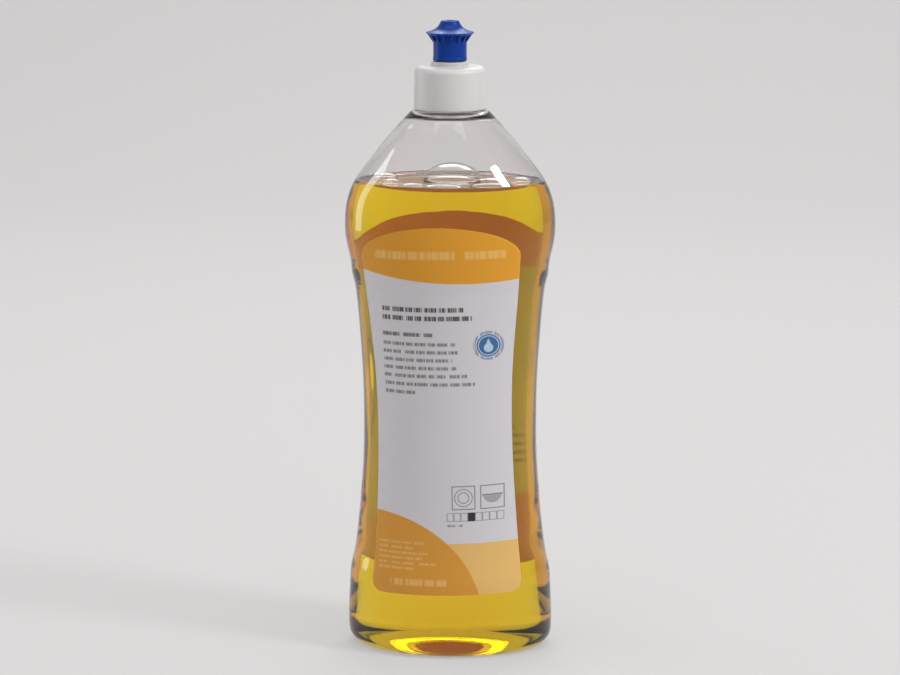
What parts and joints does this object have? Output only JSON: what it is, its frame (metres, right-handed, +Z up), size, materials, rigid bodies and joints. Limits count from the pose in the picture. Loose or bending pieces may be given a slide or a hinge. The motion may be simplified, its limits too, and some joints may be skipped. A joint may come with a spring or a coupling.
{
  "type": "dish soap bottle",
  "caption": "Clear waisted oval bottle of yellow dish soap with a white screw cap and a blue push-pull nozzle, plain labels front and rear.",
  "frame": {"origin": "on the standing surface under the middle of the bottle, on the neck's axis", "axes": "+Z up through the nozzle, X along the long axis of the oval, the front label faces -Y"},
  "size_m": [0.0945, 0.072, 0.2826],
  "materials": {
    "clear_bottle": "clear blown PET, glossy inside and out",
    "yellow_liquid": "transparent golden yellow liquid",
    "label_film": "printed satin film, pale grey-white with orange and tan fields",
    "white_cap": "satin white moulded polypropylene",
    "foam_liner": "white polyethylene foam",
    "blue_nozzle": "semi-gloss deep blue moulded plastic"
  },
  "bodies": {
    "bottle": {"bottle": "clear_bottle", "detergent": "yellow_liquid", "front_label": "label_film", "rear_label": "label_film"},
    "liner": {"cap_liner": "foam_liner"},
    "cap": {"screw_cap": "white_cap"},
    "nozzle": {"push_pull_nozzle": "blue_nozzle"}
  },
  "joints": [
    {"name": "cap_rise", "type": "slide", "parent": "bottle", "child": "liner", "axis": [0, 0, 1], "range_m": [0, 0.00636]},
    {"name": "cap_turn", "type": "hinge", "parent": "liner", "child": "cap", "pos_m": [0, 0, 0.253], "axis": [0, 0, 1], "range_deg": [0, 540]},
    {"name": "nozzle_pull", "type": "slide", "parent": "cap", "child": "nozzle", "axis": [0, 0, 1], "range_m": [0, 0.0045]}
  ],
  "couplings": [
    {"joint": "cap_rise", "follows": "cap_turn", "m_per_rad": 0.00067322}
  ]
}
